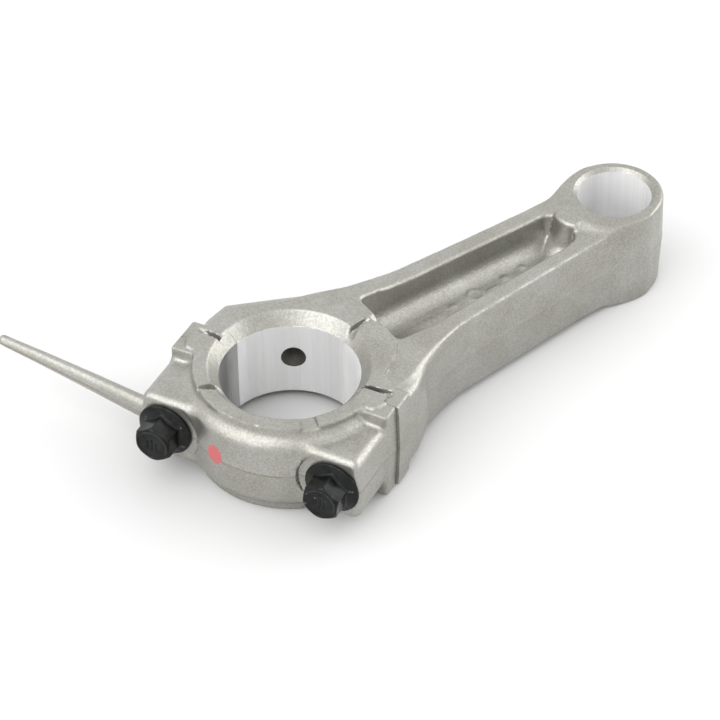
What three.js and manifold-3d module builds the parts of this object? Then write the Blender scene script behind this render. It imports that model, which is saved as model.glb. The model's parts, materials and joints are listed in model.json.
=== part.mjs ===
// Connecting rod of a small splash-lubricated engine, in millimetres, +Z up.
// Four pieces: the rod body, its angled bearing cap with the oil dipper cast on, and two flange bolts.
// The design is drawn round the crankpin bore: origin on its axis at mid thickness, +X to the small end.
import * as THREE from "three";
import * as BufferGeometryUtils from "three/addons/utils/BufferGeometryUtils.js";
import Module from "manifold-3d";

const wasm = await Module();
wasm.setup();

// Driving dimensions
const CENTRES = 110; // crankpin bore axis to gudgeon-pin bore axis
const CRANK_R = 18; // crankpin bore
const PIN_R = 10; // gudgeon-pin bore
const HALF_T = 13.8; // half the thickness over the machined faces
const SPLIT_TURN = THREE.MathUtils.degToRad(114.5); // from +X to the cap's u direction, along the split
const PLAY = 0.3; // clearance between neighbouring pieces

// Sizes that follow from them
const BEAM_Z = HALF_T - 1.7; // half thickness of the as-cast beam
const LUG_Z = HALF_T - 0.7; // half thickness of the joint lugs
const BOSS_Z = HALF_T - 4.2; // half thickness of the cap's bolt bosses and outer wall
const RING_R = CRANK_R + 6.5; // outer edge of the cap's thrust ring
const WALL_R = CRANK_R + 9.2; // outer wall of the cap
const BORE_CHAMFER = [2.9, 3.4]; // width and depth
const PIN_CHAMFER = [0.6, 0.6];
const WEB_Z = 3.3; // half thickness of the web between the channels
const FLANGE_DROP = 1.4; // the flange is this much below the thrust pad on the near side

// Bolts and their seats, in the cap's own frame: u along the split, v away from the rod
const BOLT_LEFT = 23.8;
const BOLT_RIGHT = -23.4;
const SEAT_V = 22.1;
const SPOT_R = 9.6; // spot face under each flange
const SHANK_R = 4;
const FLANGE_R = 7.4;
const FLANGE_H = 2.3;
const RIM_H = 0.9; // thickness of the flange at its rim
const HEX_R = 5.4; // centre to corner
const HEX_H = 5;
const BOLT_REACH = 12; // depth of the shank beyond the split
const THREAD_BOSS_R = 8.2;
const LUG_FAR = 30.4; // outer face of both far lugs
const ROD_LUG_NEAR = -31.9; // outer face of the rod's near lug
const CAP_LUG_NEAR = -31.2; // outer face of the cap's near lug
const STEP_U = 27.5; // where the split steps towards the cap
const STEP_V = 2.4;

const ARC = 40; // segments on a full bore
const FINEST_EDGE = 0.01; // shorter edges left by the cuts are merged away
const FAR = 200; // well past every face of the part

// ---- helpers -------------------------------------------------------------------------------

/** A closed three.js geometry as a manifold solid. */
function solid(geometry) {
  const bare = geometry.index ? geometry.toNonIndexed() : geometry.clone();
  bare.deleteAttribute("normal");
  bare.deleteAttribute("uv");
  const merged = BufferGeometryUtils.mergeVertices(bare, 1e-4);
  return new wasm.Manifold(new wasm.Mesh({
    numProp: 3,
    vertProperties: new Float32Array(merged.attributes.position.array),
    triVerts: new Uint32Array(merged.index.array),
  }));
}

/** A manifold solid as a named three.js mesh. */
function named(name, body, material) {
  const raw = body.simplify(FINEST_EDGE).getMesh();
  const geometry = new THREE.BufferGeometry();
  geometry.setAttribute("position", new THREE.BufferAttribute(raw.vertProperties, 3));
  geometry.setIndex(new THREE.BufferAttribute(raw.triVerts, 1));
  geometry.computeVertexNormals();
  const mesh = new THREE.Mesh(geometry, material);
  mesh.name = name;
  return mesh;
}

/** A closed outline from corners [x, y, radius], each turned with an arc of that radius. */
function outline(corners) {
  const shape = new THREE.Shape();
  corners.forEach(([x, y, radius = 0], i) => {
    const corner = new THREE.Vector2(x, y);
    const [bx, by] = corners.at(i - 1);
    const [nx, ny] = corners[(i + 1) % corners.length];
    const back = new THREE.Vector2(bx - x, by - y).normalize();
    const next = new THREE.Vector2(nx - x, ny - y).normalize();
    const half = Math.acos(THREE.MathUtils.clamp(back.dot(next), -1, 1)) / 2;
    if (radius > 0) {
      const run = radius / Math.tan(half);
      const from = corner.clone().addScaledVector(back, run);
      const centre = corner.clone().addScaledVector(back.clone().add(next).normalize(), radius / Math.sin(half));
      const to = corner.clone().addScaledVector(next, run);
      const start = Math.atan2(from.y - centre.y, from.x - centre.x);
      const end = Math.atan2(to.y - centre.y, to.x - centre.x);
      const right = back.x * next.y - back.y * next.x > 0;
      shape.absarc(centre.x, centre.y, radius, start, end, right);
    } else if (i === 0) {
      shape.moveTo(x, y);
    } else {
      shape.lineTo(x, y);
    }
  });
  shape.closePath();
  return shape;
}

/** A flat shape raised from low to high, with its edges bevelled inwards by size over height. */
function raised(shape, low, high, size = 0, height = size, steps = 1) {
  const geometry = new THREE.ExtrudeGeometry(shape, {
    depth: high - low - 2 * height,
    bevelEnabled: size > 0,
    bevelSize: size,
    bevelThickness: height,
    bevelOffset: -size,
    bevelSegments: steps,
    curveSegments: 7,
  });
  geometry.translate(0, 0, low + height);
  return solid(geometry);
}

/** A solid of revolution about Z from a closed [radius, height] profile. */
function turned(profile, segments = ARC) {
  const points = [...profile, profile[0]].map(([r, z]) => new THREE.Vector2(r, z));
  const geometry = new THREE.LatheGeometry(points, segments);
  geometry.rotateX(Math.PI / 2);
  return solid(geometry);
}

/** A solid of revolution about the line (u, z = 0) that runs along v. */
function turnedAlongV(profile, u, segments = 24) {
  const points = profile.map(([r, v]) => new THREE.Vector2(r, v));
  const geometry = new THREE.LatheGeometry(points, segments);
  geometry.translate(u, 0, 0);
  return solid(geometry);
}

/** A box of the given size about a centre. */
function box(size, centre) {
  const geometry = new THREE.BoxGeometry(...size);
  geometry.translate(...centre);
  return solid(geometry);
}

/** Moves a solid built in the cap's frame into the rod's frame. */
function fromCap(body) {
  return body.rotate([0, 0, THREE.MathUtils.radToDeg(SPLIT_TURN)]);
}

/** A point of the cap's frame in the rod's frame. */
function atCap(u, v) {
  const point = new THREE.Vector2(u, v).rotateAround(new THREE.Vector2(), SPLIT_TURN);
  return [point.x, point.y];
}

/** Adds the mirror image about mid thickness. */
function bothFaces(body) {
  return body.add(body.mirror([0, 0, 1]));
}

// ---- shared cutters ------------------------------------------------------------------------

/** A bore through the full thickness with a chamfer at each end. */
function boreCutter(radius, chamfer, segments) {
  const [width, depth] = chamfer;
  const past = 1;
  const out = radius + width * (1 + past / depth);
  const face = HALF_T - depth;
  const end = HALF_T + past;
  return turned([[0, -end], [out, -end], [radius, -face], [radius, face], [out, end], [0, end]], segments);
}

/** The space on the rod's side of the stepped split, set back by the play. */
function rodSide(play) {
  const step = STEP_U + play;
  const outer = STEP_V - play;
  return raised(outline([
    [-FAR, outer], [-step, outer], [-step, -play], [step, -play], [step, outer], [FAR, outer], [FAR, -FAR],
    [-FAR, -FAR],
  ]), -FAR, FAR);
}

/** The two bolt holes, from past the seat to the blind end. */
function boltHoles() {
  const r = SHANK_R + PLAY;
  const end = -BOLT_REACH - 1.5; // a little deeper than the bolt
  const holes = [BOLT_RIGHT, BOLT_LEFT].map((u) =>
    turnedAlongV([[0, end - 2], [r, end], [r, SEAT_V + 5], [0, SEAT_V + 5]], u));
  return holes[0].add(holes[1]);
}

/** Slanted oil grooves across the thrust faces: [angle, half width] about the bore. */
function oilGrooves(list) {
  return list.map(([angle, halfWidth]) => {
    const inner = CRANK_R - 1;
    const outer = RING_R + 2;
    const above = HALF_T + 0.5;
    const profile = outline([[inner, above], [inner, HALF_T - 2.9], [outer, HALF_T - 0.9], [outer, above]]);
    const geometry = new THREE.ExtrudeGeometry(profile, { depth: 2 * halfWidth, bevelEnabled: false });
    geometry.translate(0, 0, -halfWidth);
    geometry.rotateX(Math.PI / 2);
    geometry.rotateZ(THREE.MathUtils.degToRad(angle));
    return bothFaces(solid(geometry));
  }).reduce((sum, groove) => sum.add(groove));
}

// ---- rod body ------------------------------------------------------------------------------

/** Flange that carries the upper half of the bearing and the threaded bosses, flared from the beam. */
function rodFlange() {
  const shape = outline([
    atCap(28.6, 4), atCap(28.6, -8), [2.2, 31, 2.5], [15.4, 24.1], [27, 17.6], [33, 15],
    [40, 12.6], [40, -14.6], [33, -17.6], [27, -20.6], [...atCap(-31.9, -9.5), 5], atCap(-31.9, 4),
  ]);
  const nearTop = HALF_T - FLANGE_DROP;
  const near = box([FAR, FAR, 2 * nearTop], [0, -FAR / 2, 0]);
  const far = box([FAR, FAR, FAR], [0, FAR / 2, 0]);
  const full = raised(shape, -HALF_T, HALF_T, 1.2, 1.6);
  return full.intersect(near.add(far));
}

/** Round bosses that hold the bolt threads. */
function threadBosses() {
  const r = THREAD_BOSS_R;
  return [BOLT_RIGHT, BOLT_LEFT].map((u) =>
    turnedAlongV([[0, -BOLT_REACH - 4], [r - 3, -BOLT_REACH - 4], [r, -BOLT_REACH - 1], [r, 1], [0, 1]], u, 28))
    .reduce((sum, boss) => sum.add(boss));
}

/** I-beam body, one drafted outline that runs into the eye. */
function beam() {
  const shape = outline([
    [20, 19], [28, 15.9], [35, 14.5], [44, 13.8], [66, 12.4], [88, 11.3], [CENTRES, 11.1],
    [CENTRES, -11.9], [88, -12.2], [66, -13.4], [50, -14.5], [38, -16.7], [20, -23],
  ]);
  return raised(shape, -BEAM_Z, BEAM_Z, 0.8);
}

/** Round eye at full thickness. */
function eye() {
  const r = 13.5;
  const edge = 0.7;
  return turned([
    [0, -HALF_T], [r - edge, -HALF_T], [r, -HALF_T + edge], [r, HALF_T - edge], [r - edge, HALF_T], [0, HALF_T],
  ]).translate([CENTRES, 0, 0]);
}

/** Thrust pad on the near side of the upper half bearing. */
function thrustPad() {
  const shape = outline([
    [10, 1.4], [26.6, 1.4], [27.5, -5], [26.6, -10.5], [23, -14.2], [16, -18], [15.6, -22],
    [13.4, -25.4], [11.8, -24.6], [6, -14],
  ]);
  return raised(shape, -HALF_T, HALF_T, 0.4);
}

/** The channel of one face: drafted walls, and an end wall that bulges in on the axis. */
function channelCutter() {
  const end = 92.9;
  const shape = outline([
    [28.4, 8.9, 1.8], [61, 7.5], [90.4, 6.1, 1.5], [end, 3.8],
    [end, -3.4], [90, -6.6], [86, -7.5], [61, -8.5], [40, -9.8], [27.8, -9, 1.8],
  ]);
  const bulge = turned([[0, 0], [6.4, 0], [6.4, 2 * HALF_T], [0, 2 * HALF_T]]).translate([97, 0, 0]);
  return raised(shape, WEB_Z, 2 * HALF_T, 0.5, 1.2).subtract(bulge);
}

/** Oil hole through the bearing wall, countersunk from the bore. */
function oilHole() {
  const [wide, narrow] = [3.3, 1.8];
  return turnedAlongV([
    [0, CRANK_R / 2], [wide, CRANK_R / 2], [wide, CRANK_R + 1.5], [narrow, CRANK_R + 4.5], [narrow, FAR], [0, FAR],
  ], 0, 20).rotate([0, 0, 50 - 90]);
}

/** Lugs either side of the split at nearly full thickness; the cut shares them between rod and cap. */
function lugs(nearFace) {
  const inner = 20;
  const top = 7.6;
  const low = -4.6;
  return [[inner, LUG_FAR], [nearFace, -inner]].map(([from, to]) =>
    raised(outline([[from, low, 0], [to, low, 0], [to, top, 1.2], [from, top, 1.2]]), -LUG_Z, LUG_Z, 0.5))
    .reduce((sum, lug) => sum.add(lug));
}

function rodBody(material) {
  const body = rodFlange().add(beam()).add(eye()).add(thrustPad())
    .add(fromCap(lugs(ROD_LUG_NEAR).add(threadBosses())));
  const cut = boreCutter(CRANK_R, BORE_CHAMFER, ARC + 20)
    .add(boreCutter(PIN_R, PIN_CHAMFER, ARC).translate([CENTRES, 0, 0]))
    .add(bothFaces(channelCutter()))
    .add(fromCap(boltHoles()))
    .add(oilHole())
    .add(oilGrooves([[3, 1.2], [-61, 1.5], [110, 1.5]]));
  return named("rod_body", body.intersect(fromCap(rodSide(PLAY / 2))).subtract(cut), material);
}

// ---- bearing cap ---------------------------------------------------------------------------

/** Lower half bearing: thrust ring, and the lower outer wall that stiffens it. */
function capRing() {
  const ledge = BOSS_Z + 0.4;
  const edge = 0.8;
  const draft = 0.6;
  const upper = [
    [WALL_R, ledge - edge], [WALL_R - edge, ledge], [RING_R + draft, ledge + edge], [RING_R, HALF_T - edge],
    [RING_R - draft, HALF_T], [0, HALF_T],
  ];
  const lower = upper.map(([r, z]) => [r, -z]).reverse();
  return turned([...lower, [WALL_R + draft / 2, 0], ...upper], ARC + 20);
}

/** Bolt bosses, one slab across the cap. */
function capBosses() {
  const face = SEAT_V + 0.7;
  const far = LUG_FAR + 0.6;
  const near = CAP_LUG_NEAR + 0.4;
  return raised(outline([
    [near, -4, 0], [far, -4, 0], [far, face, 2.5], [13, face, 3], [9, 12, 0], [-9, 12, 0], [-13, face, 3],
    [near, face, 2.5],
  ]), -BOSS_Z, BOSS_Z, 0.9);
}

/** Spot-faced seats for the bolt flanges. */
function seats() {
  return [BOLT_RIGHT, BOLT_LEFT].map((u) =>
    turnedAlongV([[0, SEAT_V], [SPOT_R, SEAT_V], [SPOT_R, SEAT_V + 30], [0, SEAT_V + 30]], u, 36))
    .reduce((sum, seat) => sum.add(seat));
}

/** Oil dipper: a tapered blade that leaves the left boss and leans back from the bolt. */
function dipper() {
  const root = new THREE.Vector3(27.5, 18.2, 0);
  const end = new THREE.Vector3(78.6, 11.5, 0);
  const spine = new THREE.QuadraticBezierCurve3(root, new THREE.Vector3(50, 14.9, 0), end);
  const [rootWidth, tipWidth] = [6.6, 3];
  const [rootThick, tipThick] = [4.4, 2.6];
  const around = 12;
  const section = new THREE.Shape();
  section.absellipse(0, 0, 1, 1, 0, 2 * Math.PI, false, 0);
  const geometry = new THREE.ExtrudeGeometry(section, {
    steps: 10, extrudePath: spine, bevelEnabled: false, curveSegments: around,
  });
  const position = geometry.attributes.position;
  const point = new THREE.Vector3();
  for (let i = 0; i < position.count; i += 1) {
    point.fromBufferAttribute(position, i);
    const along = THREE.MathUtils.clamp((point.x - root.x) / (end.x - root.x), 0, 1);
    const middle = spine.getPointAt(along);
    const width = THREE.MathUtils.lerp(rootWidth, tipWidth, along) / 2;
    const thick = THREE.MathUtils.lerp(rootThick, tipThick, along) / 2;
    point.set(point.x, middle.y + (point.y - middle.y) * thick, point.z * width);
    position.setXYZ(i, point.x, point.y, point.z);
  }
  const tip = new THREE.SphereGeometry(1, around, 8);
  tip.scale(tipWidth / 2, tipThick / 2, tipWidth / 2);
  tip.translate(end.x, end.y, 0);
  return solid(geometry).add(solid(tip));
}

function bearingCap(material) {
  const keep = box([2 * FAR, FAR, FAR], [0, FAR / 2 - 1, 0]).subtract(rodSide(-PLAY / 2));
  const body = capRing().add(capBosses()).add(lugs(CAP_LUG_NEAR)).intersect(keep)
    .subtract(seats()).add(dipper());
  const notch = box([4.3, 2 * (RING_R - CRANK_R) + 2, 1.6], [0, RING_R, HALF_T]);
  const notches = bothFaces(notch).rotate([0, 0, 39.8]);
  const cut = boreCutter(CRANK_R, BORE_CHAMFER, ARC + 20).add(boltHoles()).add(notches)
    .add(oilGrooves([[53, 1.1]]));
  return named("bearing_cap", body.subtract(cut), material);
}

// ---- bolts ---------------------------------------------------------------------------------

/** Flange bolt with a chamfered hexagon head, standing along v. */
function capBolt(name, u, material) {
  const under = SEAT_V + PLAY;
  const top = under + FLANGE_H;
  const shank = turnedAlongV([
    [0, -BOLT_REACH], [SHANK_R - 0.8, -BOLT_REACH], [SHANK_R, -BOLT_REACH + 0.8], [SHANK_R, under],
    [FLANGE_R, under], [FLANGE_R, under + RIM_H], [HEX_R, top], [0, top],
  ], u, 32);
  const overlap = 0.5; // of the hexagon with the flange
  const hexagon = solid(new THREE.CylinderGeometry(HEX_R, HEX_R, HEX_H + overlap, 6)
    .translate(u, top + (HEX_H - overlap) / 2, 0));
  const wide = HEX_R + 0.1;
  const crown = turnedAlongV([
    [0, under], [wide, under], [wide, top + HEX_H - 1.2], [HEX_R - 1.6, top + HEX_H], [0, top + HEX_H],
  ], u, 32);
  return named(name, shank.add(hexagon.intersect(crown)), material);
}

// ---- assembly ------------------------------------------------------------------------------

const castAluminium = new THREE.MeshStandardMaterial({ color: 0xb3b2aa, roughness: 0.45, metalness: 0.8 });
const capAluminium = new THREE.MeshStandardMaterial({ color: 0xaeada6, roughness: 0.45, metalness: 0.8 });
const blackOxide = new THREE.MeshStandardMaterial({ color: 0x2b2c2c, roughness: 0.4, metalness: 0.7 });

const capGroup = new THREE.Group();
capGroup.rotation.z = SPLIT_TURN;
capGroup.add(
  bearingCap(capAluminium),
  capBolt("cap_bolt_left", BOLT_LEFT, blackOxide),
  capBolt("cap_bolt_right", BOLT_RIGHT, blackOxide.clone()),
);

const rod = new THREE.Group();
rod.add(rodBody(castAluminium), capGroup);

// The row frame has its origin under the middle of the bounding box.
rod.updateMatrixWorld(true);
const bounds = new THREE.Box3().setFromObject(rod, true);
const middle = bounds.getCenter(new THREE.Vector3());
rod.position.set(-middle.x, -middle.y, -bounds.min.z);

export default rod;
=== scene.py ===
"""Connecting rod: cast pieces with real fillets, machined bores, black-oxide bolts.

Cast shapes are distance fields, in millimetres, turned into smooth meshes. Machined
cuts are then made in the mesh, so that their edges stay crisp.
"""
import json
import math
from itertools import product

import bmesh
import bpy
import numpy as np
from mathutils import Matrix, Quaternion, Vector


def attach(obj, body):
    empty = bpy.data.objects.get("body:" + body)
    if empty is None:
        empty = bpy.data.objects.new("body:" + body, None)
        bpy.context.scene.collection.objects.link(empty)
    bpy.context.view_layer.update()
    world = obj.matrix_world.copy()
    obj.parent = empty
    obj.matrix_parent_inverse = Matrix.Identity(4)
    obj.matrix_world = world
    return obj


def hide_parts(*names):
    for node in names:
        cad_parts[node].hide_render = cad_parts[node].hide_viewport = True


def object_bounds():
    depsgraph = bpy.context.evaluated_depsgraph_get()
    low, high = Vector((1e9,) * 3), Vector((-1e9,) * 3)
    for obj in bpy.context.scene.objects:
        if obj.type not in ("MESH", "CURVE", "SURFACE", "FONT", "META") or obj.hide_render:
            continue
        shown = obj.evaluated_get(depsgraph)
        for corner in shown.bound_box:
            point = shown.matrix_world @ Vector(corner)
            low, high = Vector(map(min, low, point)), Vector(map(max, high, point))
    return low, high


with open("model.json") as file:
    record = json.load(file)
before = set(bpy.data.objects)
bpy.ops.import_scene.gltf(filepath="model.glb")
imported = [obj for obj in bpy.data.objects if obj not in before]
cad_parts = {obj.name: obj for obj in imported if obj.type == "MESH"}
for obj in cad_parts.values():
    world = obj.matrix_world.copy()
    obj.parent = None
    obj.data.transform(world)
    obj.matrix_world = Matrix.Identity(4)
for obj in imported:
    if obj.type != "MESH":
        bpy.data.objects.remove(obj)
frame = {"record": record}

CAD_BOX = [list(corner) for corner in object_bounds()]
record = frame["record"]

# ---- the design's frame, from the record ----------------------------------------------------

openings = {entry["name"]: entry["box_m"] for entry in record["physics"]["openings"]}
BORE = Vector(np.mean(openings["crankpin_bore"], axis=0))
PIN = Vector(np.mean(openings["gudgeon_pin_bore"], axis=0))
CENTRES = (PIN.x - BORE.x) * 1000
cap_joint = next(joint for joint in record["behaviour"]["joints"] if joint["child"] == "cap")
CAP_AXIS = Vector(cap_joint["axis"])
SPLIT_TURN = math.atan2(CAP_AXIS.y, CAP_AXIS.x) - math.pi / 2
PLACE_ROD = Matrix.Translation(BORE) @ Matrix.Scale(0.001, 4)
PLACE_CAP = PLACE_ROD @ Matrix.Rotation(SPLIT_TURN, 4, "Z")

# ---- sizes, in millimetres -------------------------------------------------------------------

HALF_T = 13.8
CRANK_R = 18
PIN_R = 10
BEAM_Z = HALF_T - 1.7
FLANGE_DROP = 1.4
LUG_Z = HALF_T - 0.7
BOSS_Z = HALF_T - 4.2
RING_R = CRANK_R + 6.5
WALL_R = CRANK_R + 9.2
CHAMFER_R = CRANK_R + 2.9
CHAMFER_Z = HALF_T - 3.4

BOLT_LEFT = 23.8
BOLT_RIGHT = -23.4
SEAT_V = 22.1
SPOT_R = 9.6
SHANK_R = 4
FLANGE_R = 7.4
FLANGE_H = 2.3
RIM_H = 0.9
FLANGE_SLOPE = 0.42
HEX_FLAT = 4.7
HEX_H = 5.0
BOLT_REACH = 12
THREAD_PITCH = 1.25
THREAD_CUT = 0.38  # how far the shank is turned down for the thread
THREAD_H = 0.36
STEP_U = 27.5
STEP_V = 2.4
TONGUE_U = 20.2
TONGUE_V = -4.3
LUG_TOP_V = 7.6
LUG_FAR = 30.4
ROD_LUG_NEAR = -31.9
CAP_LUG_NEAR = -31.2
SPLIT_GAP = 0.06
LIP_GAP = 0.11
EYE_R = 13.55
OIL_MOUTH_R = 3.25
OIL_HOLE_R = 1.8
OIL_HOLE_TURN = 50  # degrees round the crankpin bore
WEB_Z = 3.3

FINE = 0.45  # grid step of the castings
BOLT_FINE = 0.22


# ---- distance fields -------------------------------------------------------------------------

def both(a, b, radius=0.0):
    """Inside both shapes, with the edge between them rounded."""
    if not radius:
        return np.maximum(a, b)
    corner = np.hypot(np.maximum(a + radius, 0), np.maximum(b + radius, 0))
    return np.minimum(np.maximum(a, b), -radius) + corner


def either(a, b, radius=0.0):
    """Inside one shape or the other, with a fillet where they meet."""
    if not radius:
        return np.minimum(a, b)
    corner = np.hypot(np.maximum(radius - a, 0), np.maximum(radius - b, 0))
    return np.maximum(np.minimum(a, b), radius) - corner


def without(a, b, radius=0.0):
    """Shape a with b cut out of it."""
    return both(a, -b, radius)


def ramp(value, start, end):
    """0 before start, 1 after end and smooth between."""
    t = np.clip((value - start) / (end - start), 0, 1)
    return t * t * (3 - 2 * t)


def rounded_corners(corners, steps=8):
    """A polygon from corners (x, y, radius), each turned with an arc of that radius."""
    points = []
    for i, (x, y, radius) in enumerate(corners):
        corner = Vector((x, y))
        back = (Vector(corners[i - 1][:2]) - corner).normalized()
        onward = (Vector(corners[(i + 1) % len(corners)][:2]) - corner).normalized()
        half = back.angle(onward) / 2
        if radius == 0 or math.pi / 2 - half < 0.01:
            points.append(corner)
            continue
        centre = corner + (back + onward).normalized() * radius / math.sin(half)
        start = corner + back * radius / math.tan(half) - centre
        end = corner + onward * radius / math.tan(half) - centre
        turn = math.atan2(start.x * end.y - start.y * end.x, start.dot(end))
        for k in range(steps + 1):
            points.append(centre + Matrix.Rotation(turn * k / steps, 2) @ start)
    return points


def polygon(x, y, points):
    """Signed distance to a polygon, negative inside."""
    nearest = np.full(np.broadcast(x, y).shape, 1e9)
    inside = np.zeros(nearest.shape, bool)
    for i, end in enumerate(points):
        start = points[i - 1]
        ex, ey = end.x - start.x, end.y - start.y
        length = ex * ex + ey * ey
        if length < 1e-12:
            continue
        px, py = x - start.x, y - start.y
        t = np.clip((px * ex + py * ey) / length, 0, 1)
        nearest = np.minimum(nearest, np.hypot(px - ex * t, py - ey * t))
        crosses = (start.y <= y) != (end.y <= y)
        if ey:
            inside ^= crosses & (px < ex * py / ey)
    return np.where(inside, -nearest, nearest)


def plan(grid, corners):
    """Distance to a rounded outline, worked out once on the grid's x-y plane."""
    x, y, z = grid
    return polygon(x[:, :, 0], y[:, :, 0], rounded_corners(corners))[:, :, None] + 0 * z[:1, :1, :]


def segment_tube(grid, start, end, start_size, end_size):
    """A tapered bar with an oval section; sizes are half widths across and half heights."""
    x, y, z = grid
    ex, ey = end[0] - start[0], end[1] - start[1]
    t = np.clip(((x - start[0]) * ex + (y - start[1]) * ey) / (ex * ex + ey * ey), 0, 1)
    across = np.hypot(x - start[0] - ex * t, y - start[1] - ey * t)
    thick = start_size[0] + (end_size[0] - start_size[0]) * t
    tall = start_size[1] + (end_size[1] - start_size[1]) * t
    return (np.hypot(across / thick, z / tall) - 1) * np.minimum(thick, tall)


# ---- from field to mesh ----------------------------------------------------------------------

def grid_over(low, high, step):
    """Coordinates of a grid over a box, as three arrays that broadcast, and its corner."""
    axes = [np.arange(lo, hi + step, step) for lo, hi in zip(low, high)]
    return np.meshgrid(*axes, indexing="ij", sparse=False)


def surface(field, low, step):
    """Vertices and quads of the field's zero surface, one vertex in each cell it crosses."""
    inside = field < 0
    cells = tuple(n - 1 for n in field.shape)
    count = np.zeros(cells, np.int8)
    for i, j, k in product((0, 1), repeat=3):
        count += inside[i:cells[0] + i, j:cells[1] + j, k:cells[2] + k]
    active = np.argwhere((count > 0) & (count < 8))
    index = np.full(cells, -1, np.int64)
    index[tuple(active.T)] = np.arange(len(active))

    total = np.zeros((len(active), 3))
    hits = np.zeros(len(active))
    for axis in range(3):
        others = [a for a in range(3) if a != axis]
        for p, q in product((0, 1), repeat=2):
            offset = np.zeros(3, int)
            offset[others] = p, q
            near = active + offset
            far = near.copy()
            far[:, axis] += 1
            a, b = field[tuple(near.T)], field[tuple(far.T)]
            crosses = (a < 0) != (b < 0)
            t = np.where(crosses, a / np.where(crosses, a - b, 1), 0)
            point = near.astype(float)
            point[:, axis] += t
            total += point * crosses[:, None]
            hits += crosses
    vertices = total / hits[:, None] * step + np.array(low)

    quads = []
    for axis in range(3):
        first, second = [(axis + 1) % 3, (axis + 2) % 3]
        below = inside.take(range(cells[axis]), axis)
        above = inside.take(range(1, cells[axis] + 1), axis)
        edges = np.argwhere(below != above)
        limits = (edges[:, first] > 0) & (edges[:, second] > 0)
        limits &= (edges[:, first] < cells[first]) & (edges[:, second] < cells[second])
        edges = edges[limits]
        ring = []
        for p, q in ((0, 0), (1, 0), (1, 1), (0, 1)):
            cell = edges.copy()
            cell[:, first] -= p
            cell[:, second] -= q
            ring.append(index[tuple(cell.T)])
        ring = np.stack(ring, 1)
        outward = below[tuple(edges.T)]
        quads.append(np.where(outward[:, None], ring, ring[:, ::-1]))
    return vertices, np.concatenate(quads)


def mesh_object(name, vertices, faces):
    mesh = bpy.data.meshes.new(name)
    mesh.from_pydata(vertices.tolist(), [], faces.tolist())
    mesh.validate()
    obj = bpy.data.objects.new(name, mesh)
    bpy.context.scene.collection.objects.link(obj)
    return obj


def cast_object(name, shape, low, high, step):
    """A casting from its field function shape((x, y, z))."""
    field = shape(grid_over(low, high, step))
    closed = np.pad(field, 1, constant_values=step)
    vertices, quads = surface(closed, np.array(low) - step, step)
    return mesh_object(name, vertices, quads)


# ---- machined cuts ---------------------------------------------------------------------------

def cutter_from(bm):
    """The object made of a finished bmesh, its faces turned outwards."""
    bmesh.ops.recalc_face_normals(bm, faces=bm.faces)
    mesh = bpy.data.meshes.new("cutter")
    bm.to_mesh(mesh)
    bm.free()
    obj = bpy.data.objects.new("cutter", mesh)
    bpy.context.scene.collection.objects.link(obj)
    return obj


def lathe_object(profile, segments=128):
    """A closed solid of revolution about Z from a profile (radius, height) between axis points."""
    bm = bmesh.new()
    rings = []
    for radius, height in profile:
        if radius == 0:
            rings.append([bm.verts.new((0, 0, height))])
            continue
        turns = [2 * math.pi * k / segments for k in range(segments)]
        rings.append([bm.verts.new((radius * math.cos(a), radius * math.sin(a), height)) for a in turns])
    for lower, upper in zip(rings, rings[1:]):
        for k in range(segments):
            n = (k + 1) % segments
            loop = [lower[k % len(lower)], lower[n % len(lower)]]
            loop += [upper[n % len(upper)], upper[k % len(upper)]]
            bm.faces.new(list(dict.fromkeys(loop)))
    return cutter_from(bm)


def prism_object(points, low, high):
    """A closed prism over a polygon in x-y."""
    bm = bmesh.new()
    base = [bm.verts.new((x, y, low)) for x, y in points]
    top = [bm.verts.new((x, y, high)) for x, y in points]
    bm.faces.new(base)
    bm.faces.new(top)
    for k in range(len(points)):
        n = (k + 1) % len(points)
        bm.faces.new((base[k], base[n], top[n], top[k]))
    return cutter_from(bm)


def cut(obj, cutters, operation="DIFFERENCE"):
    """Applies boolean cuts and removes the cutters."""
    for cutter in cutters:
        modifier = obj.modifiers.new("cut", "BOOLEAN")
        modifier.operation = operation
        modifier.object = cutter
        modifier.solver = "MANIFOLD"
    bpy.context.view_layer.update()
    graph = bpy.context.evaluated_depsgraph_get()
    mesh = bpy.data.meshes.new_from_object(obj.evaluated_get(graph))
    obj.modifiers.clear()
    old = obj.data
    obj.data = mesh
    bpy.data.meshes.remove(old)
    for cutter in cutters:
        bpy.data.objects.remove(cutter)


def bore_cutter(radius, chamfer, centre=0.0):
    """A bore through the thickness; chamfer adds a small machined edge break."""
    face = HALF_T
    profile = [(0, -face - 2), (radius + chamfer + 2, -face - 2), (radius, -face + chamfer),
               (radius, face - chamfer), (radius + chamfer + 2, face + 2), (0, face + 2)]
    cutter = lathe_object(profile, 180)
    cutter.data.transform(Matrix.Translation((centre, 0, 0)))
    return cutter


def along_v(profile, u, segments=72):
    """A solid of revolution about a bolt's axis, in the cap's frame."""
    cutter = lathe_object(profile, segments)
    cutter.data.transform(Matrix.Translation((u, 0, 0)) @ Matrix.Rotation(-math.pi / 2, 4, "X"))
    return cutter


def bolt_hole(u):
    end = -BOLT_REACH - 1.5
    radius = SHANK_R + 0.12
    return along_v([(0, end - 2), (radius, end), (radius, SEAT_V + 20), (0, SEAT_V + 20)], u)


def oil_hole():
    """The oil hole from the crankpin bore outwards, wide at its mouth."""
    inner, outer = 10, 60
    profile = [(0, inner), (OIL_MOUTH_R, inner), (OIL_MOUTH_R, CRANK_R + 1.2),
               (OIL_HOLE_R, CRANK_R + 3.6), (OIL_HOLE_R, outer), (0, outer)]
    hole = lathe_object(profile, 64)
    aim = Matrix.Rotation(math.radians(OIL_HOLE_TURN), 4, "Z")
    hole.data.transform(aim @ Matrix.Rotation(math.pi / 2, 4, "Y"))
    return hole


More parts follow.
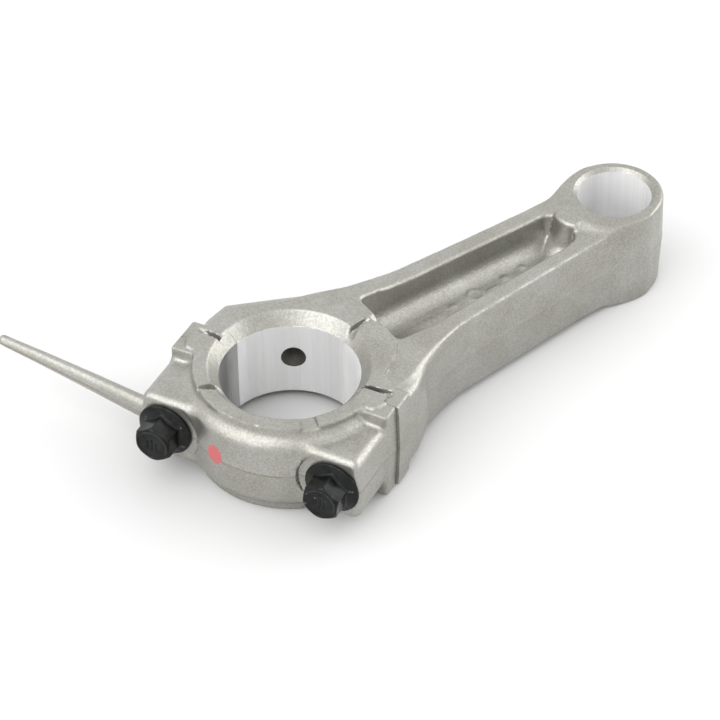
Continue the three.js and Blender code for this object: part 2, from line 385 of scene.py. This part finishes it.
def split_block(side):
    """The space on the rod's side (1) or the cap's side (-1) of the split, open at its lips."""
    far = 150
    shift = -side * SPLIT_GAP / 2
    lip = STEP_V - side * LIP_GAP / 2
    step = STEP_U + shift
    tongue = TONGUE_U + shift
    low = TONGUE_V + shift
    line = [(-far, lip), (-step, lip), (-step, shift), (0, shift), (0, low), (tongue, low), (tongue, shift),
            (step, shift), (step, lip), (far, lip)]
    return prism_object([*line, (far, -far * side), (-far, -far * side)], -40, 40)


# ---- the rod's castings ----------------------------------------------------------------------

def cap_uv(x, y):
    """The rod frame's x, y in the cap's frame."""
    c, s = math.cos(SPLIT_TURN), math.sin(SPLIT_TURN)
    return x * c + y * s, -x * s + y * c


def at_cap(u, v):
    point = Matrix.Rotation(SPLIT_TURN, 2) @ Vector((u, v))
    return point.x, point.y


def grooves(grid, runs):
    """Oil grooves across the thrust face, each (start, end, half width at start, at end)."""
    x, y, z = grid
    result = np.full(x.shape, 1e3)
    for start, end, wide, narrow in runs:
        length = math.dist(start, end)
        ux, uy = (end[0] - start[0]) / length, (end[1] - start[1]) / length
        along = (x - start[0]) * ux + (y - start[1]) * uy
        across = (y - start[1]) * ux - (x - start[0]) * uy
        share = np.clip(along / length, 0, 1)
        floor = HALF_T - 2.9 + 1.9 * share
        width = wide + (narrow - wide) * share
        groove = both(np.abs(across) - width, floor - np.abs(z), 0.3)
        result = np.minimum(result, both(groove, both(-3 - along, along - length)))
    return result


def chamfer_cone(rho, z):
    """The as-cast chamfer round the crankpin bore, shallower on the underside."""
    slope = (CHAMFER_R - CRANK_R) / (HALF_T - CHAMFER_Z)
    depth = np.abs(z) - CHAMFER_Z - np.where(z < 0, 1, 0)
    return (rho - CRANK_R - depth * slope) / math.hypot(1, slope)


def near_side(y):
    """0 on the far side of the big end and 1 on the near side, where only the pad is full height."""
    return ramp(-y, -1.8, 0.2)


def big_end_rise(x, y):
    """How far the faces round the big end stand up: 1 at full thickness, 0 at the beam's."""
    near = near_side(y)
    return (1 - ramp(x, 22, 48 - near * 18)) * (1 - near * FLANGE_DROP / (HALF_T - BEAM_Z))


def beam_field(grid):
    """The shank: thinner than both ends, it flares into the flange and into the round eye."""
    x, y, z = grid
    side = plan(grid, [
        (10, 21, 0), (20, 19, 6), (30, 15.5, 14), (44, 13.8, 40), (66, 12.4, 80), (88, 11.3, 60),
        (CENTRES, 11.1, 0), (CENTRES, -11.9, 0), (88, -12.2, 60), (66, -13.4, 80), (44, -14.6, 40),
        (32, -17.9, 30), (22, -22.4, 0), (10, -24, 0),
    ])
    about_eye = np.hypot(x - CENTRES, y)
    flat = either(side, about_eye - EYE_R, 4)
    stub = np.maximum(np.abs(y) - 3.4, 91 - x)
    rise = np.maximum(big_end_rise(x, y), 1 - ramp(about_eye, 13.6, 18.5))
    rise = np.maximum(rise, 1 - ramp(stub, 0, 1.8))
    high = BEAM_Z + (HALF_T - BEAM_Z) * rise
    return both(flat + np.abs(z) * 0.03, np.abs(z) - high, 0.8)


def flange_field(grid):
    """Upper half bearing and the flange that carries the joint, chamfered down to its sides."""
    x, y, z = grid
    flat = plan(grid, [
        (*at_cap(28.6, 4), 0), (*at_cap(28.6, -8), 2), (2.2, 31, 2.5), (15.4, 24.1, 20), (30, 16, 20),
        (40, 12.6, 0), (40, -15, 0), (29, -19.9, 8), (*at_cap(-31.9, -9.5), 5), (*at_cap(-31.9, 4), 0),
    ])
    wall = flat + np.abs(z) * 0.03
    slope = (wall + (np.abs(z) - HALF_T) * 1.15 + 3.0) / 1.52
    top = BEAM_Z + (HALF_T - BEAM_Z) * big_end_rise(x, y)
    return both(both(wall, slope, 1.0), np.abs(z) - top, 1.7)


def lug_field(grid, u, v, near):
    """Joint lugs at nearly full thickness either side of the bore."""
    z = grid[2]
    sides = np.maximum(near - u, u - LUG_FAR)
    flat = both(both(sides, 20 - np.abs(u)), both(-4.6 - v, v - LUG_TOP_V, 0.5), 0.8)
    return both(flat + np.abs(z) * 0.02, np.abs(z) - LUG_Z, 0.5)


def pad_field(grid):
    """Raised thrust pad on the near side of the bore."""
    flat = plan(grid, [
        (10, 1.4, 0), (26.6, 1.4, 1), (27.5, -5, 8), (26.6, -10.5, 5), (23, -14.2, 5), (16, -18, 3),
        (15.6, -22, 3), (13.4, -25.4, 1.5), (11.8, -24.6, 0), (6, -14, 0),
    ])
    return both(flat, np.abs(grid[2]) - HALF_T, 0.35)


def channel_field(grid):
    """The channel in each face, with its bulged end wall."""
    x, y, z = grid
    flat = plan(grid, [
        (29.6, 8.7, 1.8), (61, 7.5, 80), (90.4, 6.1, 1.5), (92.9, 3.8, 0.6),
        (92.9, -3.4, 0.6), (90, -6.6, 2.5), (86, -7.5, 6), (61, -8.5, 80), (40, -9.8, 20),
        (27.8, -9, 1.8),
    ])
    bulge = np.hypot(x - 97, y) - 6.4
    flat = without(flat, bulge, 0.5)
    wall = flat + (BEAM_Z - np.abs(z)) * 0.17
    near_end = (1 - ramp(x, 28, 50)) * ramp(-y, -2, 9)
    return both(wall, WEB_Z + 4.5 * near_end - np.abs(z), 4.2)


def cast_marks(grid):
    """Plain raised marks on the channel floor: a ring, discs and short ribs."""
    x, y, z = grid
    marks = np.abs(np.hypot(x - 61.5, y - 0.2) - 2) - 0.25
    for cx, cy, radius in ((72, 0.5, 1.0), (78.5, 1.2, 0.8), (54, 0.2, 0.9)):
        marks = np.minimum(marks, np.hypot(x - cx, y - cy) - radius)
    for cx in np.arange(38, 50, 2.2):
        marks = np.minimum(marks, both(np.abs(x - cx) - 0.35, np.abs(y + 0.8) - 1.1))
    marks = np.minimum(marks, both(np.abs(x - 66.8) - 1.9, np.abs(y + 0.8) - 0.4))
    return both(marks, np.abs(np.abs(z) - WEB_Z) - 0.3, 0.2)


def thread_boss_field(grid, u, v):
    """Round bosses that hold the bolt threads."""
    z = grid[2]
    left = np.hypot(u - BOLT_LEFT, z)
    right = np.hypot(u - BOLT_RIGHT, z)
    return both(np.minimum(left, right) - 8.2, np.abs(v + 8) - 8, 3)


def rod_field(grid):
    x, y, z = grid
    u, v = cap_uv(x, y)
    rho = np.hypot(x, y)
    body = either(beam_field(grid), flange_field(grid), 1.0)
    body = either(body, thread_boss_field(grid, u, v), 2.5)
    body = either(body, lug_field(grid, u, v, ROD_LUG_NEAR), 0.6)
    body = either(body, pad_field(grid), 0.25)
    body = without(body, channel_field(grid), 0.9)
    body = either(body, cast_marks(grid), 0.3)
    body = without(body, chamfer_cone(rho, z), 0.35)
    body = without(body, grooves(grid, [
        ((15.5, -0.6), (26.2, 1.1), 1.2, 0.6), ((8.9, -18.6), (12.7, -25.1), 0.95, 0.8),
        ((-7.3, 15.6), (-9.5, 26.2), 0.95, 0.4),
    ]), 0.4)
    seam = 0.12 * np.exp(-(z / 0.35) ** 2)
    return both(body - seam, np.abs(z) - HALF_T)


# ---- the cap's casting -----------------------------------------------------------------------

def ring_field(rho, z):
    """Thrust ring above a narrow ledge and the cap's outer wall."""
    height = np.abs(z)
    ring = both(rho - RING_R - (HALF_T - height) * 0.05, height - HALF_T, 0.35)
    wall = both(rho - WALL_R + height * 0.03, height - BOSS_Z - 0.2, 2.0)
    return either(ring, wall, 2.6)


def shoulder_field(grid):
    """The thrust face carries on over the inner part of each lug, up to a small step."""
    u, v, z = grid
    flat = plan((np.abs(u), v, z), [
        (18, -4, 0), (28.2, -4, 0), (28.2, 2.8, 1), (26.9, 5.7, 0.8), (24.3, 6.2, 0.8), (18, 10, 0)])
    return both(flat, np.abs(z) - HALF_T, 0.4)


def boss_field(grid):
    """Bolt bosses either side of the cap."""
    z = grid[2]
    face = SEAT_V + 0.7
    flat = plan(grid, [
        (CAP_LUG_NEAR + 0.4, -3, 0), (LUG_FAR + 0.6, -3, 0), (LUG_FAR + 0.6, face, 2.5), (13, face, 3),
        (9, 12, 0), (-9, 12, 0), (-13, face, 3), (CAP_LUG_NEAR + 0.4, face, 2.5),
    ])
    return both(flat + np.abs(z) * 0.05, np.abs(z) - BOSS_Z, 2.4)


def dipper_field(grid):
    """Slim tapered oil dipper, leaning back from the left bolt."""
    path = [(27.0, 18.2), (34.7, 17.4), (46.9, 15.6), (63.6, 13.3), (78.4, 11.5)]
    length = path[-1][0] - path[0][0]

    def size(point):
        share = (point[0] - path[0][0]) / length
        return 2.3 - 1.0 * share, 3.5 - 1.9 * share
    bars = [segment_tube(grid, a, b, size(a), size(b)) for a, b in zip(path, path[1:])]
    return np.minimum.reduce(bars)


def cap_field(grid):
    u, v, z = grid
    rho = np.hypot(u, v)
    body = either(ring_field(rho, z), boss_field(grid), 1.2)
    body = either(body, lug_field(grid, u, v, CAP_LUG_NEAR), 1.2)
    body = either(body, shoulder_field(grid), 0.3)
    body = without(body, chamfer_cone(rho, z), 0.35)
    for bolt in (BOLT_LEFT, BOLT_RIGHT):
        spot = both(np.hypot(u - bolt, z) - SPOT_R, SEAT_V - v, 0.3)
        body = without(body, both(spot, np.abs(u - bolt) - 12), 0.2)
    body = either(body, dipper_field(grid), 1.5)
    turn = math.radians(129.8)
    across = v * math.cos(turn) - u * math.sin(turn)
    outward = u * math.cos(turn) + v * math.sin(turn)
    notch = both(both(np.abs(across) - 2.0, HALF_T - 1.1 - np.abs(z), 0.2), 19 - outward)
    body = without(body, notch, 0.2)
    body = without(body, grooves(grid, [((12.4, 15.6), (16.8, 18.9), 1.3, 0.45)]), 0.35)
    seam = 0.16 * np.exp(-(z / 0.4) ** 2)
    return both(body - seam, np.abs(z) - HALF_T)


# ---- bolts -----------------------------------------------------------------------------------

def bolt_field(grid):
    """Flange bolt along +z, its bearing face at z = 0 and its head upwards."""
    x, y, z = grid
    rho = np.hypot(x, y)
    rim = both(rho - FLANGE_R, both(-z, z - RIM_H, 0.15), 0.15)
    slope = (z - RIM_H) + (rho - FLANGE_R + 0.3) * FLANGE_SLOPE
    cone = both(both(-z, slope / math.hypot(1, FLANGE_SLOPE)), both(rho - FLANGE_R + 0.3, z - FLANGE_H))
    flange = np.minimum(rim, cone)
    flats = np.maximum.reduce([
        np.abs(x * math.cos(a) + y * math.sin(a)) - HEX_FLAT for a in (0, math.pi / 3, 2 * math.pi / 3)])
    top = FLANGE_H + HEX_H
    crown = (rho - HEX_FLAT + 0.1 + (z - top) * 1.2) / 1.56
    head = both(both(flats, crown, 0.15), both(z - top, 0.5 - z), 0.25)
    head = without(head, both(rho - HEX_FLAT + 0.7, top - 0.25 - z, 0.2), 0.15)
    for offset, half in ((-1.2, 1.2), (0, 1.8), (1.2, 1.2)):
        bar = both(np.abs(x - offset) - 0.22, np.abs(y) - half, 0.1)
        head = without(head, both(bar, top - 0.6 - z, 0.1), 0.1)
    spiral = (z / THREAD_PITCH - np.arctan2(y, x) / (2 * math.pi)) % 1
    thread = THREAD_H * (1 - np.abs(2 * spiral - 1)) * ramp(-z, 10.5, 11.5)
    round_wall = rho - SHANK_R + THREAD_CUT * ramp(-z, 10, 11) - thread
    shank = both(round_wall, both(-z - SEAT_V - BOLT_REACH, z - 1), 0.6)
    body = either(flange, head, 0.4)
    return either(body, shank, 0.3)


# ---- materials -------------------------------------------------------------------------------

def new_material(name, base, metallic, roughness):
    material = bpy.data.materials.new(name)
    material.use_nodes = True
    nodes = material.node_tree.nodes
    shader = nodes["Principled BSDF"]
    shader.inputs["Base Color"].default_value = (*base, 1)
    shader.inputs["Metallic"].default_value = metallic
    shader.inputs["Roughness"].default_value = roughness
    return material, nodes, material.node_tree.links, shader


def noise(nodes, links, coordinates, scale, detail=3.0, roughness=0.6):
    node = nodes.new("ShaderNodeTexNoise")
    node.inputs["Scale"].default_value = scale
    node.inputs["Detail"].default_value = detail
    node.inputs["Roughness"].default_value = roughness
    links.new(coordinates, node.inputs["Vector"])
    return node.outputs["Fac"]


def colour_ramp(nodes, links, value, stops):
    node = nodes.new("ShaderNodeValToRGB")
    elements = node.color_ramp.elements
    while len(elements) < len(stops):
        elements.new(0.5)
    for element, (place, colour) in zip(elements, stops):
        element.position = place
        element.color = (*colour, 1)
    links.new(value, node.inputs["Fac"])
    return node.outputs["Color"]


def map_range(nodes, links, value, low, high, to_low, to_high):
    node = nodes.new("ShaderNodeMapRange")
    for name, number in zip(("From Min", "From Max", "To Min", "To Max"), (low, high, to_low, to_high)):
        node.inputs[name].default_value = number
    links.new(value, node.inputs["Value"])
    return node.outputs["Result"]


def bump(nodes, links, height, distance, strength, normal=None):
    node = nodes.new("ShaderNodeBump")
    node.inputs["Distance"].default_value = distance
    node.inputs["Strength"].default_value = strength
    links.new(height, node.inputs["Height"])
    if normal:
        links.new(normal, node.inputs["Normal"])
    return node.outputs["Normal"]


def mixed(nodes, links, factor, first, second):
    node = nodes.new("ShaderNodeMix")
    node.data_type = "RGBA"
    links.new(factor, node.inputs["Factor"])
    for value, name in ((first, "A"), (second, "B")):
        socket = next(s for s in node.inputs if s.name == name and s.type == "RGBA")
        if isinstance(value, tuple):
            socket.default_value = (*value, 1)
        else:
            links.new(value, socket)
    return next(s for s in node.outputs if s.type == "RGBA")


def multiplied(nodes, links, first, second):
    node = nodes.new("ShaderNodeMix")
    node.data_type = "RGBA"
    node.blend_type = "MULTIPLY"
    node.inputs["Factor"].default_value = 1
    for value, name in ((first, "A"), (second, "B")):
        links.new(value, next(s for s in node.inputs if s.name == name and s.type == "RGBA"))
    return next(s for s in node.outputs if s.type == "RGBA")


def calculated(nodes, links, operation, *values):
    """A math node's result; each value is a number or the output of another node."""
    node = nodes.new("ShaderNodeMath")
    node.operation = operation
    for socket, value in zip(node.inputs, values):
        if isinstance(value, (int, float)):
            socket.default_value = value
        else:
            links.new(value, socket)
    return node.outputs["Value"]


def coordinates_of(nodes):
    return nodes.new("ShaderNodeTexCoord").outputs["Object"]


def cast_aluminium(name, seam=None, dab=None):
    """Blasted die-cast aluminium: fine grain, faint flow marks and a warm grey cast."""
    material, nodes, links, shader = new_material(name, (0.45, 0.44, 0.42), 0.88, 0.36)
    place = coordinates_of(nodes)
    flow = noise(nodes, links, place, 90, 4)
    grain = noise(nodes, links, place, 1900, 2, 0.7)
    pits = noise(nodes, links, place, 700, 3, 0.55)
    colour = colour_ramp(nodes, links, flow, [(0.3, (0.36, 0.352, 0.315)), (0.7, (0.44, 0.437, 0.412))])
    speck = colour_ramp(nodes, links, grain, [(0.4, (0.8, 0.8, 0.79)), (0.62, (1.0, 1.0, 1.0))])
    finished = multiplied(nodes, links, colour, speck)
    if seam:
        finished = multiplied(nodes, links, finished, seam_stain(nodes, links, place, flow))
    links.new(map_range(nodes, links, grain, 0.35, 0.65, 0.42, 0.3), shader.inputs["Roughness"])
    rough = bump(nodes, links, pits, 0.00016, 0.6)
    links.new(bump(nodes, links, grain, 0.00005, 0.45, rough), shader.inputs["Normal"])
    if dab:
        finished = paint_dab(nodes, links, shader, place, finished, dab)
    links.new(finished, shader.inputs["Base Color"])
    return material


def seam_stain(nodes, links, place, flow):
    """A thin brownish stain along the die's parting line at mid thickness."""
    parts = nodes.new("ShaderNodeSeparateXYZ")
    links.new(place, parts.inputs["Vector"])
    height = calculated(nodes, links, "SUBTRACT", parts.outputs["Z"], BORE.z)
    distance = calculated(nodes, links, "ABSOLUTE", height)
    line = map_range(nodes, links, distance, 0.0001, 0.0005, 1, 0)
    patchy = map_range(nodes, links, flow, 0.4, 0.6, 0.15, 0.75)
    amount = calculated(nodes, links, "MULTIPLY", line, patchy)
    return mixed(nodes, links, amount, (1.0, 1.0, 1.0), (0.62, 0.55, 0.45))


def paint_dab(nodes, links, shader, place, under, dab):
    """A ragged dab of inspection paint inside an oval at dab = (centre, radii)."""
    centre, radii = dab
    mapping = nodes.new("ShaderNodeMapping")
    mapping.vector_type = "TEXTURE"
    mapping.inputs["Location"].default_value = centre
    mapping.inputs["Scale"].default_value = radii
    links.new(place, mapping.inputs["Vector"])
    length = nodes.new("ShaderNodeVectorMath")
    length.operation = "LENGTH"
    links.new(mapping.outputs["Vector"], length.inputs[0])
    ragged = calculated(nodes, links, "MULTIPLY_ADD", noise(nodes, links, place, 900, 2), 0.7,
                        length.outputs["Value"])
    mask = map_range(nodes, links, ragged, 1.28, 1.4, 1, 0)
    links.new(map_range(nodes, links, mask, 0, 1, 0.85, 0), shader.inputs["Metallic"])
    return mixed(nodes, links, mask, under, (0.45, 0.095, 0.1))


def machined_aluminium(name, dark, bright, metallic):
    """Bored aluminium: broad soft bands along the bore, fine streaks and tool lines round it."""
    material, nodes, links, shader = new_material(name, bright, metallic, 0.26)
    place = coordinates_of(nodes)
    stretch = nodes.new("ShaderNodeMapping")
    stretch.inputs["Scale"].default_value = (1, 1, 0.012)
    links.new(place, stretch.inputs["Vector"])
    bands = noise(nodes, links, stretch.outputs["Vector"], 110, 1, 0.4)
    streaks = noise(nodes, links, stretch.outputs["Vector"], 900, 3, 0.6)
    rings = nodes.new("ShaderNodeMapping")
    rings.inputs["Scale"].default_value = (0.02, 0.02, 1)
    links.new(place, rings.inputs["Vector"])
    lines = noise(nodes, links, rings.outputs["Vector"], 3000, 2, 0.7)
    broad = colour_ramp(nodes, links, bands, [(0.36, dark), (0.62, bright)])
    fine = colour_ramp(nodes, links, streaks, [(0.35, (0.94, 0.94, 0.94)), (0.65, (1, 1, 1))])
    links.new(multiplied(nodes, links, broad, fine), shader.inputs["Base Color"])
    links.new(map_range(nodes, links, bands, 0.3, 0.7, 0.34, 0.2), shader.inputs["Roughness"])
    links.new(bump(nodes, links, lines, 0.00002, 0.3), shader.inputs["Normal"])
    return material


def black_oxide(name):
    """Oiled black-oxide steel, nearly black, with a faint mottled bloom and a painted highlight that
    lightens its convex edges.
    """
    material, nodes, links, shader = new_material(name, (0.02, 0.021, 0.021), 0.75, 0.3)
    place = coordinates_of(nodes)
    mottle = noise(nodes, links, place, 420, 4, 0.6)
    grain = noise(nodes, links, place, 2600, 2)
    tones = [(0.35, (0.006, 0.0065, 0.0065)), (0.7, (0.02, 0.021, 0.0205))]
    colour = colour_ramp(nodes, links, mottle, tones)
    # Painted highlight: convex edges of the hex and flange are mixed towards a light grey, like light
    # catching them.
    pointiness = nodes.new("ShaderNodeNewGeometry").outputs["Pointiness"]
    edge_highlight = map_range(nodes, links, pointiness, 0.54, 0.66, 0, 1)
    links.new(mixed(nodes, links, edge_highlight, colour, (0.16, 0.16, 0.155)), shader.inputs["Base Color"])
    links.new(map_range(nodes, links, mottle, 0.3, 0.7, 0.14, 0.24), shader.inputs["Roughness"])
    links.new(bump(nodes, links, grain, 0.00004, 0.5), shader.inputs["Normal"])
    return material


def assign(obj, materials, chooser):
    """Gives each face the material whose number chooser returns for its centre, in mm."""
    mesh = obj.data
    mesh.materials.clear()
    for material in materials:
        mesh.materials.append(material)
    centres = np.empty(len(mesh.polygons) * 3)
    mesh.polygons.foreach_get("center", centres)
    slots = chooser(*centres.reshape(-1, 3).T).astype(np.int32)
    mesh.polygons.foreach_set("material_index", slots)


def finish_mesh(obj, place, angle=32):
    """Smooth shading with crisp machined edges, then into the row frame."""
    mesh = obj.data
    mesh.shade_smooth()
    mesh.set_sharp_from_angle(angle=math.radians(angle))
    mesh.transform(place)
    mesh.update()


# ---- pieces ----------------------------------------------------------------------------------

def make_rod():
    rod = cast_object("rod", rod_field, (-17, -34, -15.6), (125.2, 35, 15.6), FINE)
    hole = oil_hole()
    turn = Matrix.Rotation(SPLIT_TURN, 4, "Z")
    side = split_block(1)
    holes = [bolt_hole(BOLT_RIGHT), bolt_hole(BOLT_LEFT)]
    for cutter in (side, *holes):
        cutter.data.transform(turn)
    cut(rod, [side], "INTERSECT")
    cut(rod, [bore_cutter(CRANK_R, 0, 0), bore_cutter(PIN_R, 1.0, CENTRES), hole, *holes])

    def chooser(x, y, z):
        crank = np.hypot(x, y) < CRANK_R + 0.02
        pin = np.hypot(x - CENTRES, y) < PIN_R + 0.02
        return (crank | pin).astype(int)
    cast = cast_aluminium("rod_cast")
    machined = machined_aluminium("rod_machined", (0.8, 0.8, 0.8), (0.94, 0.94, 0.94), 0.35)
    assign(rod, [cast, machined], chooser)
    finish_mesh(rod, PLACE_ROD)
    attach(rod, "rod")
    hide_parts("rod_body")


def make_cap():
    cap = cast_object("cap", cap_field, (-33, -5, -15.6), (81.5, 31, 15.6), FINE)
    cut(cap, [split_block(-1)], "INTERSECT")
    cut(cap, [bore_cutter(CRANK_R, 0, 0), bolt_hole(BOLT_RIGHT), bolt_hole(BOLT_LEFT)])

    def chooser(u, v, z):
        return (np.hypot(u, v) < CRANK_R + 0.02).astype(int)
    dab = (PLACE_CAP @ Vector((7.5, WALL_R - 1.5, 0.9)), (0.0025, 0.0025, 0.003))
    cast = cast_aluminium("cap_cast", True, dab)
    # Painted shade: the cap's bore gets the rod's bored finish made much darker, standing in for the shade
    # on that bore wall.
    machined = machined_aluminium("cap_machined_painted_shade", (0.2, 0.2, 0.2), (0.5, 0.5, 0.49), 0.6)
    assign(cap, [cast, machined], chooser)
    finish_mesh(cap, PLACE_CAP)
    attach(cap, "cap")
    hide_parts("bearing_cap")


def make_bolt(side, u, turn):
    reach = FLANGE_R + 0.6
    bolt = cast_object(f"bolt_{side}", bolt_field, (-reach, -reach, -SEAT_V - BOLT_REACH - 0.8),
                       (reach, reach, FLANGE_H + HEX_H + 0.6), BOLT_FINE)
    stand = Matrix.Translation((u, SEAT_V + 0.04, 0)) @ Matrix.Rotation(-math.pi / 2, 4, "X")
    bolt.data.materials.append(black_oxide(f"bolt_oxide_{side}"))
    finish_mesh(bolt, PLACE_CAP @ stand @ Matrix.Rotation(math.radians(turn), 4, "Z"), 60)
    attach(bolt, f"bolt_{side}")
    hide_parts(f"cap_bolt_{side}")


# ---- studio ----------------------------------------------------------------------------------

def make_floor():
    bpy.ops.mesh.primitive_plane_add(size=6, location=(0, 0, CAD_BOX[0][2] - 0.00005))
    floor = bpy.context.object
    floor.name = "floor"
    material, *_ = new_material("floor_white", (0.65, 0.65, 0.65), 0, 0.6)
    floor.data.materials.append(material)


# Soft boxes: direction, where the glow begins and how much it adds
SOFT_BOXES = (
    ((-0.74, 0.04, 0.67), 0.72, 1.9),
    ((0.88, -0.32, 0.34), 0.74, 1.9),
    ((-0.38, -0.45, 0.81), 0.85, 0.35),
)
ROOM_STRENGTH = 1.12
GLOW_PEAK = 0.97  # cosine of the angle inside which a soft box is fully bright


def make_lights():
    """A white studio with a soft box on each side of the camera and a weaker one over it."""
    world = bpy.data.worlds.new("studio")
    bpy.context.scene.world = world
    world.use_nodes = True
    nodes, links = world.node_tree.nodes, world.node_tree.links
    direction = nodes.new("ShaderNodeTexCoord").outputs["Generated"]
    strength = nodes.new("ShaderNodeValue").outputs["Value"]
    strength.default_value = ROOM_STRENGTH
    for centre, start, extra in SOFT_BOXES:
        towards = nodes.new("ShaderNodeVectorMath")
        towards.operation = "DOT_PRODUCT"
        towards.inputs[1].default_value = Vector(centre).normalized()
        links.new(direction, towards.inputs[0])
        glow = map_range(nodes, links, towards.outputs["Value"], start, GLOW_PEAK, 0, extra)
        strength = calculated(nodes, links, "ADD", strength, glow)
    background = nodes["Background"]
    background.inputs["Color"].default_value = (1, 1, 1, 1)
    links.new(strength, background.inputs["Strength"])


CAMERA_AZIMUTH = -128.37
CAMERA_ELEVATION = 41.27
CAMERA_ROLL = -0.48
CAMERA_DISTANCE = 0.7769
CAMERA_LENS = 150.5
CAMERA_AIM = (0.02412, 0.002, 0)  # from the crankpin bore, in metres


def make_camera():
    """A long lens looking down on the big end; angles are in degrees."""
    azimuth, elevation = math.radians(CAMERA_AZIMUTH), math.radians(CAMERA_ELEVATION)
    target = BORE + Vector(CAMERA_AIM)
    back = Vector((math.cos(elevation) * math.cos(azimuth), math.cos(elevation) * math.sin(azimuth),
                   math.sin(elevation)))
    data = bpy.data.cameras.new("camera")
    data.lens = CAMERA_LENS
    data.sensor_width = 36
    data.clip_start = 0.01
    camera = bpy.data.objects.new("camera", data)
    camera.location = target + back * CAMERA_DISTANCE
    camera.rotation_mode = "QUATERNION"
    roll = Quaternion((0, 0, 1), math.radians(CAMERA_ROLL))
    camera.rotation_quaternion = (-back).to_track_quat("-Z", "Y") @ roll
    bpy.context.scene.collection.objects.link(camera)
    bpy.context.scene.camera = camera


make_rod()
make_cap()
make_bolt("left", BOLT_LEFT, 1)
make_bolt("right", BOLT_RIGHT, -7)
make_floor()
make_lights()
make_camera()
bpy.context.scene.view_settings.view_transform = "Standard"

bpy.context.view_layer.update()
